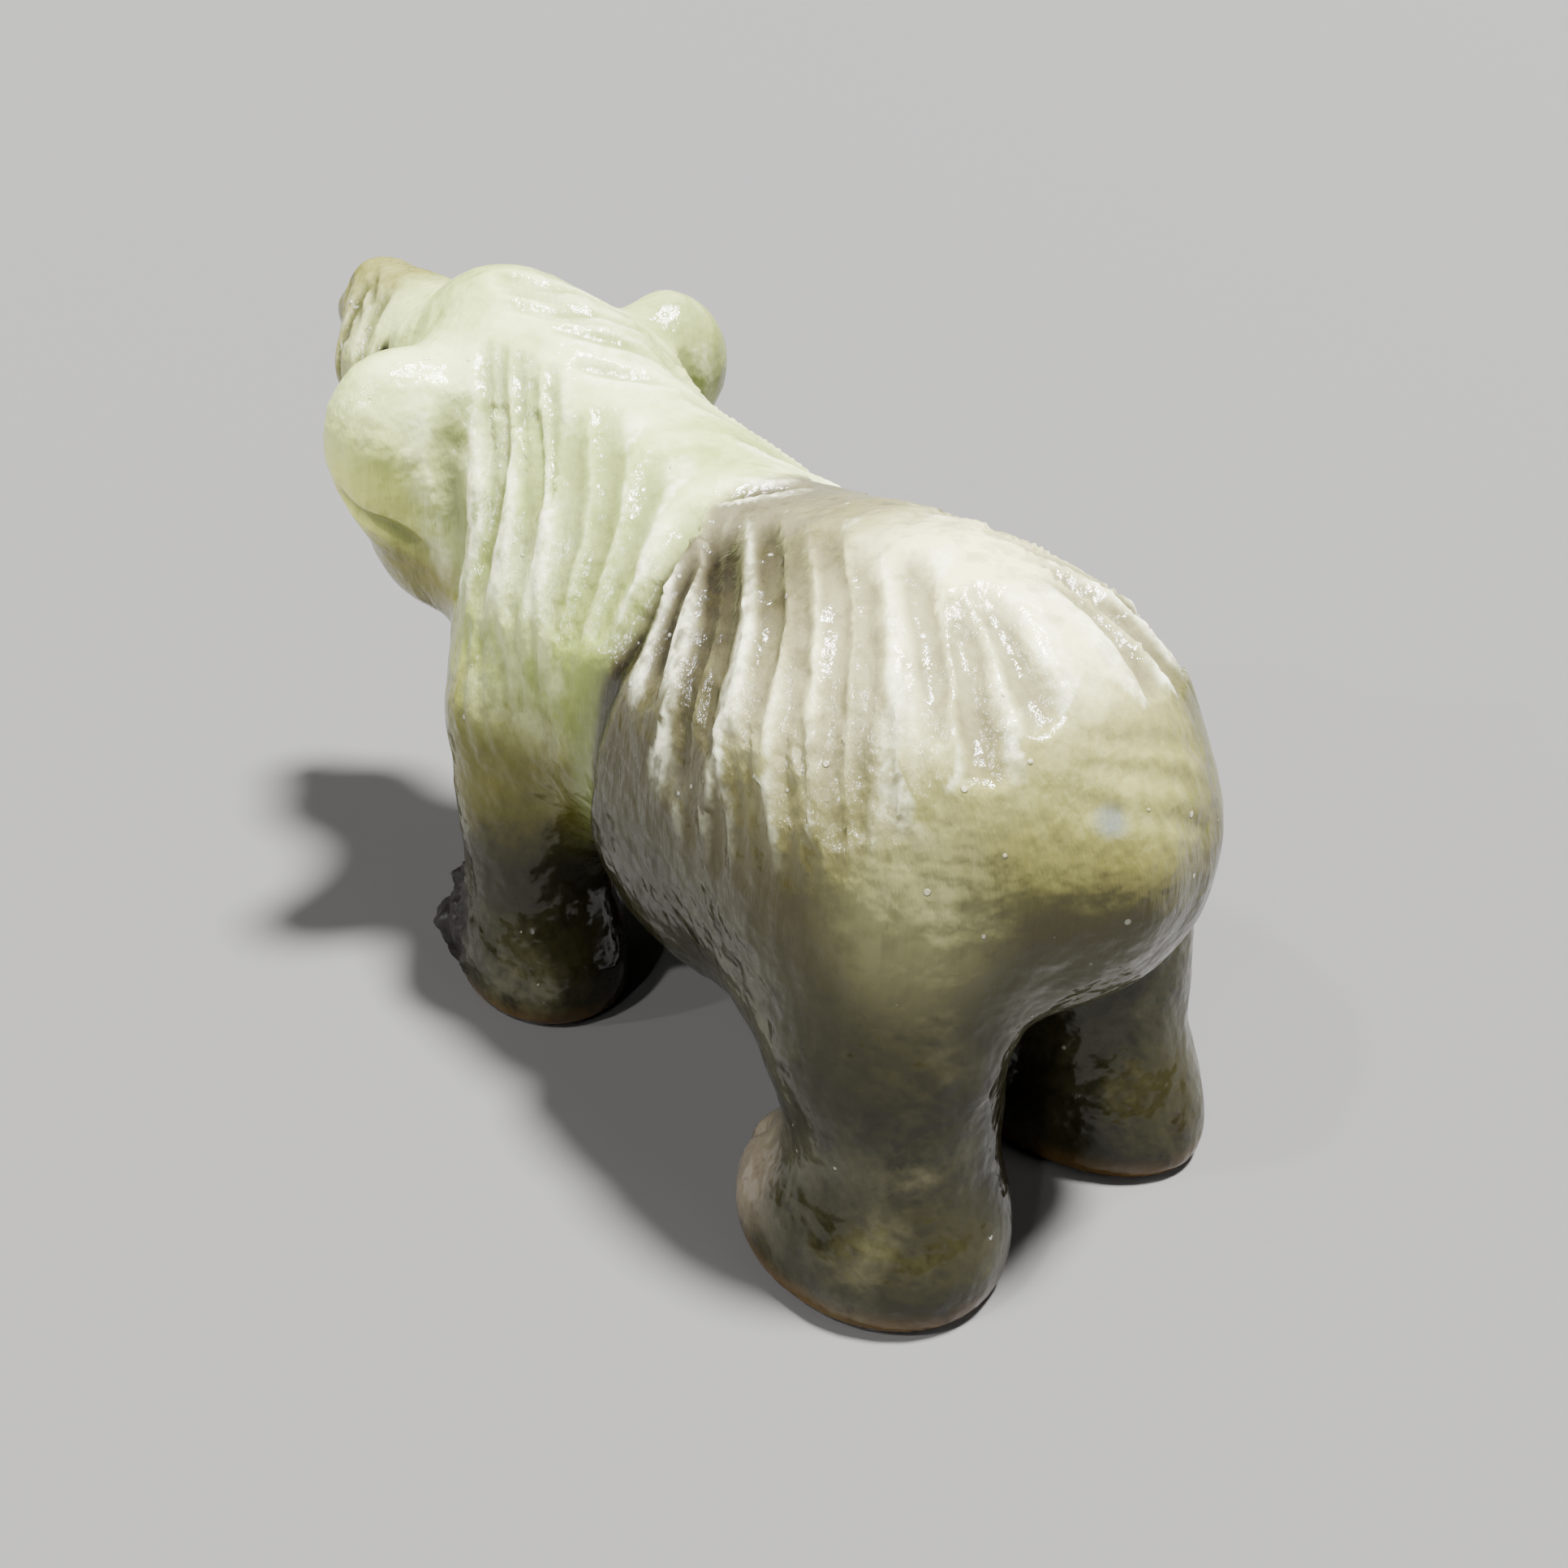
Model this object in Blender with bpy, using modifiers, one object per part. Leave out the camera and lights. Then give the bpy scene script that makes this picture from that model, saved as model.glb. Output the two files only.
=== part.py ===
"""A small polar bear carved from one piece of labradorite, standing on four flat soles.

The bear faces -Y, its left side is +X, and it stands on z = 0. It is one stone, so it is one solid.
Everything is measured on a grid of sixty units along the bear, so the carving follows BEAR_LENGTH.
The form is a sum of simple masses. The furrows of its coat are then pressed into that form.
"""

import bpy
import bmesh
import numpy as np
from mathutils import Matrix, Vector

BEAR_LENGTH = 0.057  # nose to rump, metres
GRID_UNITS = 60.0  # the bear's length in grid units
UNIT = BEAR_LENGTH / GRID_UNITS
MIDDLE = (0.05, -9.52, 0.0)  # the point of the ground under the bear, grid units

BLOCK_VOXEL = 0.85  # first remesh of the blocked-out masses, grid units
FINE_VOXEL = 0.42  # remesh that the furrows are cut into, grid units
FACET_COUNT = 9400  # triangles that the finished solid keeps
SOLE_ROUNDING = 0.6  # how softly a paw turns into its flat sole, grid units
SOLE_SNAP = 0.04  # points this near the sole's plane lie in it, grid units

# Each mass is an ellipsoid (centre, radii, blend, turn in degrees about Z) or a tapered
# limb (end, end, radius, radius, blend). The blend is how softly it runs into what came before.
TORSO = {
    "rump": ("ball", (0, 9.3, 18.3), (10.2, 10.4, 9.6), 0.0, 0),
    "barrel": ("ball", (0, 0.5, 17.6), (9.9, 13.0, 9.7), 4.0, 0),
    "belly": ("ball", (0, 1.3, 12.6), (9.4, 10.6, 7.4), 4.0, 0),
    "shoulders": ("ball", (0, -11.2, 17.6), (9.2, 8.6, 9.2), 4.0, 0),
    "chest": ("ball", (0, -16.4, 17.2), (7.8, 5.3, 6.4), 3.0, 0),
    "neck": ("limb", (0, -9.0, 19.4), (0, -18.5, 24.4), 7.7, 6.8, 4.0),
    "tail_root": ("ball", (-1.2, 16.2, 16.6), (5.6, 3.8, 5.2), 2.0, 0),
    "tail": ("ball", (0.2, 18.9, 17.8), (1.4, 1.3, 2.0), 2.2, 0),
}
HEAD = {
    "skull": ("ball", (0, -22.5, 25.5), (7.4, 7.2, 6.6), 3.0, 0),
    "crown": ("ball", (0.6, -24.2, 30.2), (3.4, 4.0, 2.9), 2.5, 0),
    "muzzle": ("limb", (0, -26.0, 25.4), (1.1, -36.3, 29.6), 4.8, 2.4, 2.5),
    "lips": ("ball", (0.8, -32.8, 26.7), (5.0, 5.2, 3.6), 2.2, 0),
    "jaw": ("limb", (0, -24.0, 20.3), (0.6, -32.6, 24.0), 4.2, 2.8, 2.0),
    "nose": ("ball", (1.2, -38.3, 28.8), (2.0, 1.5, 1.6), 0.8, 0),
}
CHEEK = ("ball", (5.6, -22.3, 20.9), (3.6, 4.0, 4.0), 2.5, 0)
BROW = ("ball", (3.0, -27.6, 29.0), (1.9, 1.9, 1.5), 1.2, 0)
EYE = ("ball", (4.0, -28.9, 27.9), (0.95, 0.95, 0.95), 0.3, 0)
EARS = {
    1: ("ball", (8.1, -21.6, 26.0), (3.6, 3.2, 4.4), 2.8, 0),
    -1: ("ball", (-7.8, -21.8, 27.6), (3.3, 3.0, 3.7), 1.6, 0),
}
EAR_HOLLOW = ("ball", (9.0, -25.2, 27.4), (2.1, 1.7, 2.5), 0.8, 0)
FRONT_LEG = {
    "shank": ("limb", (6.6, -12.6, 14.2), (7.5, -12.1, 3.6), 4.2, 3.4, 0.0),
    "paw": ("ball", (7.2, -12.4, 1.6), (4.2, 5.7, 4.4), 2.0, -12),
    "toes": ("ball", (7.5, -15.3, 2.2), (3.7, 3.0, 3.6), 0.8, -12),
}
LEFT_HIND_LEG = {
    "thigh": ("ball", (5.6, 11.0, 13.0), (4.7, 6.4, 8.0), 0.0, 0),
    "shank": ("limb", (6.1, 13.5, 9.0), (6.0, 14.3, 3.2), 4.1, 4.1, 2.5),
    "paw": ("ball", (6.6, 12.7, 1.3), (5.0, 6.4, 4.2), 2.0, -6),
}
RIGHT_HIND_LEG = {
    "thigh": ("ball", (6.5, 9.6, 12.0), (4.5, 5.4, 7.5), 0.0, 0),
    "shank": ("limb", (6.9, 12.0, 9.0), (6.7, 12.9, 3.2), 4.1, 4.0, 2.5),
    "paw": ("ball", (6.4, 12.0, 1.2), (4.4, 6.3, 4.4), 2.0, -6),
}
FRONT_LEG_BLEND = 3.0
HIND_LEG_BLEND = {1: 2.5, -1: 1.5}


def array(values):
    return np.array(values, dtype=float)


def mirrored(mass, side):
    """The mass on the bear's left (side 1) or its right (side -1)."""
    flip = array((side, 1, 1))
    if mass[0] == "ball":
        return ("ball", array(mass[1]) * flip, mass[2], mass[3], mass[4] * side)
    return ("limb", array(mass[1]) * flip, array(mass[2]) * flip, *mass[3:])


def ball_distance(points, centre, radii, turn):
    """Nearly the distance from an ellipsoid, below zero inside it."""
    angle = np.radians(turn)
    turned = array(
        (
            (np.cos(angle), -np.sin(angle), 0),
            (np.sin(angle), np.cos(angle), 0),
            (0, 0, 1),
        )
    )
    local = (points - array(centre)) @ turned
    radii = array(radii)
    scaled = np.sqrt(((local / radii) ** 2).sum(-1))
    slope = np.sqrt(((local / radii**2) ** 2).sum(-1))
    return scaled * (scaled - 1) / np.maximum(slope, 1e-9)


def limb_distance(points, start, end, start_radius, end_radius):
    """The distance from two spheres and the cone that touches both."""
    along = array(end) - array(start)
    taper = start_radius - end_radius
    length_squared = along @ along
    cone_squared = length_squared - taper * taper
    from_start = points - array(start)
    y = from_start @ along
    z = y - length_squared
    across = ((from_start * length_squared - y[..., None] * along) ** 2).sum(-1)
    y_squared = y * y * length_squared
    z_squared = z * z * length_squared
    edge = np.sign(taper) * taper * taper * across
    side = (np.sqrt(across * cone_squared / length_squared) + y * taper) / length_squared
    near_end = np.sign(z) * cone_squared * z_squared > edge
    near_start = np.sign(y) * cone_squared * y_squared < edge
    at_end = np.sqrt(across + z_squared) / length_squared - end_radius
    at_start = np.sqrt(across + y_squared) / length_squared - start_radius
    return np.where(near_end, at_end, np.where(near_start, at_start, side - start_radius))


def mass_distance(points, mass):
    if mass[0] == "ball":
        return ball_distance(points, mass[1], mass[2], mass[4])
    return limb_distance(points, *mass[1:5])


def joined(first, second, blend):
    """Two distances as one, with a fillet of about the blend between the shapes."""
    if blend <= 0:
        return np.minimum(first, second)
    share = np.clip(0.5 + 0.5 * (second - first) / blend, 0, 1)
    return second + (first - second) * share - blend * share * (1 - share)


def hollowed(first, second, blend):
    """The first shape with the second taken out of it."""
    return -joined(-first, second, blend)


def blend_of(mass):
    return mass[3] if mass[0] == "ball" else mass[5]


def group_distance(points, masses):
    found = None
    for mass in masses:
        distance = mass_distance(points, mass)
        found = distance if found is None else joined(found, distance, blend_of(mass))
    return found


def side_masses(side):
    """The paired masses of one side, in groups with the blend of each group into the body."""
    hind = LEFT_HIND_LEG if side > 0 else RIGHT_HIND_LEG
    ear = EARS[side]
    return (
        ([mirrored(CHEEK, side)], CHEEK[3]),
        ([mirrored(BROW, side)], BROW[3]),
        ([ear], ear[3]),
        ([mirrored(m, side) for m in FRONT_LEG.values()], FRONT_LEG_BLEND),
        ([mirrored(m, side) for m in hind.values()], HIND_LEG_BLEND[side]),
        ([mirrored(EYE, side)], EYE[3]),
    )


def stone_distance(points):
    """The whole bear before its furrows, in grid units, below zero inside the stone."""
    found = group_distance(points, [*TORSO.values(), *HEAD.values()])
    for side in (1, -1):
        for masses, blend in side_masses(side):
            found = joined(found, group_distance(points, masses), blend)
        hollow = mirrored(EAR_HOLLOW, side)
        found = hollowed(found, mass_distance(points, hollow), EAR_HOLLOW[3])
    return hollowed(found, points[..., 2], SOLE_ROUNDING)


# A family of furrows runs from its first stroke to its last. Each stroke is a line of corners
# on the bear's left side, and the strokes between are spaced evenly along the whole family.
FURROWS = {
    "mane": {
        "strokes": (
            ((6.2, -18.6, 29.4), (7.6, -17.6, 26.4), (8.0, -17.0, 22.8), (8.4, -16.8, 18.6)),
            ((4.6, -14.9, 28.8), (6.0, -12.3, 26.9), (7.5, -9.8, 24.8), (9.2, -9.1, 20.4)),
            ((1.9, -11.8, 29.2), (4.3, -8.0, 27.3), (6.6, -5.5, 25.1), (8.8, -4.4, 21.0)),
            ((2.2, -4.6, 27.3), (5.5, -1.5, 25.6), (7.5, -0.5, 23.9), (9.4, 0.2, 20.4)),
        ),
        "count": 7,
        "width": 0.85,
        "depth": 0.44,
    },
    "flank": {
        "strokes": (
            ((2.8, -2.6, 27.0), (6.2, 2.0, 25.6), (8.3, 3.9, 23.8), (10.0, 4.5, 19.8)),
            ((1.9, 0.9, 27.3), (5.6, 6.4, 26.5), (7.6, 8.9, 24.9), (9.7, 10.8, 21.2)),
            ((1.3, 5.8, 27.9), (4.6, 10.2, 26.9), (6.5, 12.6, 25.1), (8.1, 14.3, 22.0)),
            ((1.4, 11.8, 27.5), (2.4, 14.9, 26.0), (2.7, 16.3, 25.0), (2.8, 17.6, 23.6)),
        ),
        "count": 8,
        "width": 0.85,
        "depth": 0.52,
    },
    "saddle": {
        "strokes": (((2.4, -3.4, 27.2), (1.0, -2.4, 27.3), (-1.6, -1.6, 27.2)),),
        "count": 1,
        "width": 0.7,
        "depth": 0.3,
        "sides": (1,),
    },
    "ruff": {
        "strokes": (
            ((1.2, -21.4, 32.8), (-1.6, -20.6, 32.2), (-4.6, -20.4, 30.4)),
            ((2.0, -15.2, 30.4), (0.4, -13.6, 30.0), (-2.2, -12.4, 29.2)),
        ),
        "count": 4,
        "width": 0.7,
        "depth": 0.32,
        "sides": (1,),
    },
    "tail_fan": {
        "strokes": (
            ((2.6, 17.4, 23.8), (-0.4, 18.4, 23.0), (-4.6, 18.0, 21.2)),
            ((2.6, 18.6, 21.6), (0.2, 19.6, 20.8), (-3.6, 19.4, 18.6)),
        ),
        "count": 3,
        "width": 0.6,
        "depth": 0.2,
        "sides": (1,),
    },
    "muzzle": {
        "strokes": (
            ((2.6, -37.2, 31.0), (4.5, -36.2, 28.9), (4.7, -35.6, 26.4)),
            ((2.2, -32.6, 31.0), (4.7, -31.8, 28.8), (5.2, -31.2, 25.6)),
        ),
        "count": 3,
        "width": 0.65,
        "depth": 0.36,
    },
    "mouth": {
        "strokes": (((4.9, -29.4, 24.4), (4.4, -34.0, 26.2), (0.8, -39.6, 27.2)),),
        "count": 1,
        "width": 0.6,
        "depth": 0.5,
    },
    "front_toes": {
        "strokes": (
            ((5.6, -16.2, 5.4), (5.2, -18.0, 3.2), (5.2, -18.6, 0.4)),
            ((9.4, -15.4, 5.4), (9.8, -17.0, 3.2), (9.9, -17.6, 0.4)),
        ),
        "count": 3,
        "width": 0.6,
        "depth": 0.45,
    },
    "hind_toes": {
        "strokes": (
            ((4.8, 8.0, 4.6), (4.6, 6.6, 3.0), (4.6, 5.9, 0.4)),
            ((8.8, 8.2, 4.6), (9.0, 6.8, 3.0), (9.2, 6.3, 0.4)),
        ),
        "count": 3,
        "width": 0.6,
        "depth": 0.45,
    },
    "shoulder_valley": {
        "strokes": (
            (
                (6.6, -1.2, 24.6),
                (8.6, -1.4, 22.2),
                (9.7, -2.6, 18.4),
                (9.6, -4.2, 13.0),
                (8.6, -6.8, 8.4),
            ),
        ),
        "count": 1,
        "width": 1.9,
        "depth": 0.6,
    },
}
STROKE_POINTS = 14  # points along a furrow, close enough that their chords stay on the stone
STROKE_WANDER = 0.16  # how far a hand-cut furrow strays, grid units
STROKE_TAPER = 0.25  # share of a furrow's length over which it runs out to nothing
HAND_SEED = 7
SETTLE_STEPS = 6
GRADIENT_STEP = 0.02  # grid units


def stone_normals(points):
    offsets = np.eye(3) * GRADIENT_STEP
    slope = [stone_distance(points + o) - stone_distance(points - o) for o in offsets]
    normals = np.stack(slope, -1)
    return normals / np.linalg.norm(normals, axis=-1, keepdims=True)


def settled(points):
    """The points moved along the stone's normals onto its surface."""
    for _ in range(SETTLE_STEPS):
        distance = stone_distance(points)
        points = points - stone_normals(points) * distance[:, None]
    return points


def along_corners(corners, shares):
    """Points at these shares of the way along straight lines from corner to corner."""
    places = np.linspace(0, 1, len(corners))
    shares = np.clip(shares, 0, 1)
    return np.stack([np.interp(shares, places, values) for values in corners.T], -1)


def bowed_line(corners, shares):
    """The way along the corners, each one rounded off by averaging to both sides of it."""
    straight = along_corners(corners, shares)
    reach = 0.5 / (len(corners) - 1)
    beside = (along_corners(corners, shares - reach) + along_corners(corners, shares + reach)) / 2
    softness = np.sin(np.pi * shares)[:, None] * 0.5
    return straight + (beside - straight) * softness


def family_strokes(family, side, hand):
    """Every stroke of one family on one side, as lines of points on the stone."""
    strokes = array(family["strokes"])
    shares = np.linspace(0, 1, STROKE_POINTS)
    for number in range(family["count"]):
        place = (number / max(family["count"] - 1, 1)) * (len(strokes) - 1)
        if 0 < number < family["count"] - 1:
            place += hand.uniform(-0.05, 0.05) * (len(strokes) - 1)
        before = min(int(place), len(strokes) - 1)
        after = min(before + 1, len(strokes) - 1)
        corners = strokes[before] + (strokes[after] - strokes[before]) * (place - before)
        corners = corners + hand.uniform(-STROKE_WANDER, STROKE_WANDER, corners.shape)
        line = bowed_line(corners, shares) * array((side, 1, 1))
        yield settled(line), hand.uniform(0.8, 1.15)


def all_strokes():
    """(points, half width, depth) of every furrow on the bear, cut by the same hand each time."""
    hand = np.random.default_rng(HAND_SEED)
    for family in FURROWS.values():
        for side in family.get("sides", (1, -1)):
            for line, strength in family_strokes(family, side, hand):
                yield line, family["width"], family["depth"] * strength


def furrow_depths(points, line, half_width, depth):
    """How deep one furrow cuts at each of these points."""
    starts = line[:-1]
    steps = line[1:] - starts
    from_start = points[:, None, :] - starts[None]
    share = (from_start * steps).sum(-1) / (steps**2).sum(-1)
    share = np.clip(share, 0, 1)
    gaps = np.linalg.norm(from_start - share[..., None] * steps, axis=-1)
    nearest = gaps.argmin(1)
    rows = np.arange(len(points))
    place = (nearest + share[rows, nearest]) / len(steps)
    taper = np.clip(np.minimum(place, 1 - place) / STROKE_TAPER, 0, 1)
    across = np.clip(gaps[rows, nearest] / half_width, 0, 1)
    return depth * np.sqrt(taper) * (1 - across**2) ** 2


def carved(points, normals):
    """The points pushed into the stone where furrows cross them."""
    cut = np.zeros(len(points))
    for line, half_width, depth in all_strokes():
        near = (points > line.min(0) - half_width).all(1)
        near &= (points < line.max(0) + half_width).all(1)
        found = np.flatnonzero(near)
        if len(found):
            here = furrow_depths(points[found], line, half_width, depth)
            cut[found] = np.maximum(cut[found], here)
    return points - normals * cut[:, None]


def add_ball(mesh, centre, radii, turn=0.0):
    place = (
        Matrix.Translation(Vector(centre))
        @ Matrix.Rotation(np.radians(turn), 4, "Z")
        @ Matrix.Diagonal((*radii, 1))
    )
    bmesh.ops.create_uvsphere(mesh, u_segments=32, v_segments=20, radius=1, matrix=place)


def add_limb(mesh, start, end, start_radius, end_radius):
    start, end = Vector(start), Vector(end)
    add_ball(mesh, start, (start_radius,) * 3)
    add_ball(mesh, end, (end_radius,) * 3)
    along = end - start
    turn = along.to_track_quat("Z", "Y").to_matrix().to_4x4()
    bmesh.ops.create_cone(
        mesh,
        cap_ends=True,
        segments=32,
        radius1=start_radius,
        radius2=end_radius,
        depth=along.length,
        matrix=Matrix.Translation((start + end) / 2) @ turn,
    )


def all_masses():
    yield from TORSO.values()
    yield from HEAD.values()
    for side in (1, -1):
        for masses, _ in side_masses(side):
            yield from masses


def blocked_out():
    """The masses as plain shapes in one mesh, before they run into each other."""
    mesh = bmesh.new()
    for mass in all_masses():
        if mass[0] == "ball":
            add_ball(mesh, mass[1], mass[2], mass[4])
        else:
            add_limb(mesh, *mass[1:5])
    data = bpy.data.meshes.new("bear")
    mesh.to_mesh(data)
    mesh.free()
    return bpy.data.objects.new("bear", data)


def points_of(data):
    points = np.empty(len(data.vertices) * 3, np.float32)
    data.vertices.foreach_get("co", points)
    return points.reshape(-1, 3).astype(float)


def set_points(data, points):
    data.vertices.foreach_set("co", points.astype(np.float32).ravel())
    data.update()


def applied(bear):
    """The bear with its modifiers made part of its mesh."""
    bpy.context.view_layer.update()
    graph = bpy.context.evaluated_depsgraph_get()
    data = bpy.data.meshes.new_from_object(bear.evaluated_get(graph))
    bear.modifiers.clear()
    bear.data = data
    return data


def remeshed(bear, voxel):
    remesh = bear.modifiers.new("skin", "REMESH")
    remesh.mode = "VOXEL"
    remesh.voxel_size = voxel
    return applied(bear)


def relaxed(data, rounds):
    """The mesh's points evened out, so that settling them leaves no bunched faces."""
    mesh = bmesh.new()
    mesh.from_mesh(data)
    for _ in range(rounds):
        bmesh.ops.smooth_vert(
            mesh, verts=mesh.verts, factor=0.5, use_axis_x=True, use_axis_y=True, use_axis_z=True
        )
    mesh.to_mesh(data)
    mesh.free()


def stone_material():
    """Polished grey-green labradorite."""
    material = bpy.data.materials.new("labradorite")
    material.use_nodes = True
    shader = material.node_tree.nodes["Principled BSDF"]
    shader.inputs["Base Color"].default_value = (0.42, 0.44, 0.30, 1)
    shader.inputs["Roughness"].default_value = 0.28
    shader.inputs["Metallic"].default_value = 0.0
    return material


def build_bear():
    bear = blocked_out()
    carving = bpy.data.collections.new("labradorite_bear")
    bpy.context.scene.collection.children.link(carving)
    carving.objects.link(bear)
    for voxel, rounds in ((BLOCK_VOXEL, 3), (FINE_VOXEL, 1)):
        data = remeshed(bear, voxel)
        relaxed(data, rounds)
        set_points(data, settled(points_of(data)))
    points = points_of(data)
    points = carved(points, stone_normals(points))
    points[:, 2] = np.maximum(points[:, 2], 0)
    set_points(data, points)
    thinning = bear.modifiers.new("facets", "DECIMATE")
    thinning.ratio = FACET_COUNT / (2 * len(data.polygons))
    thinning.use_collapse_triangulate = True
    data = applied(bear)
    points = points_of(data)
    points[:, 2] = np.where(points[:, 2] < SOLE_SNAP, 0, points[:, 2])
    set_points(data, points)
    data.transform(Matrix.Scale(UNIT, 4) @ Matrix.Translation(-Vector(MIDDLE)))
    data.materials.clear()
    data.materials.append(stone_material())
    data.shade_smooth()


def main():
    for old in list(bpy.data.objects):
        bpy.data.objects.remove(old)
    build_bear()


main()
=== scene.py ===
# The looks of a small polar bear carved from one piece of labradorite.
# The bear faces -Y, its left side is +X, and it stands on z = 0. Lengths are in metres,
# apart from the carver's grid, which has sixty units along the bear.

import bpy
import bmesh
import numpy as np
from mathutils import Matrix, Vector


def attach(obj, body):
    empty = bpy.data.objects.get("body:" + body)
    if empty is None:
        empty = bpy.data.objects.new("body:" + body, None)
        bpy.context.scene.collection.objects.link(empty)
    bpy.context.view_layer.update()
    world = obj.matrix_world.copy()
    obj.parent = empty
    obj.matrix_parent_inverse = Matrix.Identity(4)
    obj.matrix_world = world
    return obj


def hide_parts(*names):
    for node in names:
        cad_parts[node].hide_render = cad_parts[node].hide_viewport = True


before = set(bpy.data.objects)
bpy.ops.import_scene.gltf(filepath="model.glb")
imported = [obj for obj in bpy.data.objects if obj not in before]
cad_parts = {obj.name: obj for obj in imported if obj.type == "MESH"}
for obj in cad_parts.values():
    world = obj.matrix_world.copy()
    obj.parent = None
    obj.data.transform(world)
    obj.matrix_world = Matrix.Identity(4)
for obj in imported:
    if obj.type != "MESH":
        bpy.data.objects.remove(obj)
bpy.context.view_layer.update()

gridUnit = 0.057 / 60  # one unit of the carver's grid, metres
gridMiddle = (0.05, -9.52, 0.0)  # the point of the grid that stands at the frame's origin


def hexColour(code, alpha=1.0):
    channels = [int(code[i : i + 2], 16) / 255 for i in (1, 3, 5)]
    return [c / 12.92 if c <= 0.04045 else ((c + 0.055) / 1.055) ** 2.4 for c in channels] + [alpha]


def addNode(tree, kind, *values, output="", **words):
    # values go into the node's visible sockets in their order, words with a capital into the
    # sockets of that name, and the other words are its settings
    node = tree.nodes.new(kind)
    for word, value in words.items():
        if word[0].islower():
            setattr(node, word, value)
    pairs = list(zip([socket for socket in node.inputs if socket.enabled], values))
    pairs += [(node.inputs[word.replace("_", " ")], words[word]) for word in words if word[0].isupper()]
    for socket, value in pairs:
        if isinstance(value, bpy.types.NodeSocket):
            tree.links.new(value, socket)
        else:
            socket.default_value = value
    if output:
        return node.outputs[output]
    return next((socket for socket in node.outputs if socket.enabled), node)


# The form: every mass is a ball (centre, radii, blend, turn about Z) or a tapered limb
# (end, end, radius, radius, blend), in grid units. The blend is how softly it runs in.
bearForm = {
    "torso": [
        ("ball", (0, 9.3, 18.3), (10.2, 10.4, 9.6), 0.0, 0),  # rump
        ("ball", (0, 0.5, 17.6), (9.9, 13.0, 9.7), 4.0, 0),  # barrel
        ("ball", (0, 1.3, 12.6), (9.4, 10.6, 7.4), 4.0, 0),  # belly
        ("ball", (0, -11.2, 17.6), (9.2, 8.6, 9.2), 4.0, 0),  # shoulders
        ("ball", (0, -16.4, 17.2), (7.8, 5.3, 6.4), 3.0, 0),  # chest
        ("limb", (0, -9.0, 19.4), (0, -18.5, 24.4), 7.7, 6.8, 4.0),  # neck
        ("ball", (-1.2, 16.2, 16.6), (5.6, 3.8, 5.2), 2.0, 0),  # root of the tail
        ("ball", (0.2, 18.9, 17.8), (1.4, 1.3, 2.0), 2.2, 0),  # tail
    ],
    "head": [
        ("ball", (0, -22.5, 25.5), (7.4, 7.2, 6.6), 3.0, 0),  # skull
        ("ball", (0.6, -24.2, 30.2), (3.4, 4.0, 2.9), 2.5, 0),  # crown
        ("limb", (0, -26.0, 25.4), (1.1, -36.3, 29.6), 4.8, 2.4, 2.5),  # muzzle
        ("ball", (0.8, -32.8, 26.7), (5.0, 5.2, 3.6), 2.2, 0),  # lips
        ("limb", (0, -24.0, 20.3), (0.6, -32.6, 24.0), 4.2, 2.8, 2.0),  # jaw
        ("ball", (1.2, -38.3, 28.8), (2.0, 1.5, 1.6), 0.8, 0),  # nose
    ],
    "cheek": ("ball", (5.6, -22.3, 20.9), (3.6, 4.0, 4.0), 2.5, 0),
    "brow": ("ball", (3.0, -27.6, 29.0), (1.9, 1.9, 1.5), 1.2, 0),
    "eye": ("ball", (4.0, -28.9, 27.9), (0.95, 0.95, 0.95), 0.3, 0),
    "ears": {
        1: ("ball", (8.1, -21.6, 26.0), (3.6, 3.2, 4.4), 2.8, 0),
        -1: ("ball", (-7.8, -21.8, 27.6), (3.3, 3.0, 3.7), 1.6, 0),
    },
    "earHollow": ("ball", (9.0, -25.2, 27.4), (2.1, 1.7, 2.5), 0.8, 0),
    "nostril": ("ball", (0.95, -39.9, 28.7), (0.45, 0.6, 0.4), 0.25, 0),
    "frontLeg": [
        ("limb", (6.6, -12.6, 14.2), (7.5, -12.1, 3.6), 4.2, 3.4, 0.0),
        ("ball", (7.2, -12.4, 1.6), (4.2, 5.7, 4.4), 2.0, -12),
        ("ball", (7.5, -15.3, 2.2), (3.7, 3.0, 3.6), 0.8, -12),
    ],
    "hindLegs": {
        1: [
            ("ball", (5.6, 11.0, 13.0), (4.7, 6.4, 8.0), 0.0, 0),
            ("limb", (6.1, 13.5, 9.0), (6.0, 14.3, 3.2), 4.1, 4.1, 2.5),
            ("ball", (6.6, 12.7, 1.3), (5.0, 6.4, 4.2), 2.0, -6),
        ],
        -1: [
            ("ball", (6.5, 9.6, 12.0), (4.5, 5.4, 7.5), 0.0, 0),
            ("limb", (6.9, 12.0, 9.0), (6.7, 12.9, 3.2), 4.1, 4.0, 2.5),
            ("ball", (6.4, 12.0, 1.2), (4.4, 6.3, 4.4), 2.0, -6),
        ],
    },
    "frontLegBlend": 3.0,
    "hindLegBlend": {1: 2.5, -1: 1.5},
    "soleRounding": 0.6,
    "blockVoxel": 0.85,  # grid units
    "skinVoxel": 0.267,  # a quarter of a millimetre keeps the piece under 200,000 triangles
    "smoothRounds": {"block": 3, "skin": 1},
    "settleSteps": {"block": 6, "skin": 2, "lines": 5},
    "slopeStep": 0.01,
}


def mirroredMass(mass, side):
    flip = np.array((side, 1, 1))
    if mass[0] == "ball":
        return ("ball", np.array(mass[1]) * flip, mass[2], mass[3], mass[4] * side)
    return ("limb", np.array(mass[1]) * flip, np.array(mass[2]) * flip, *mass[3:])


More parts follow.
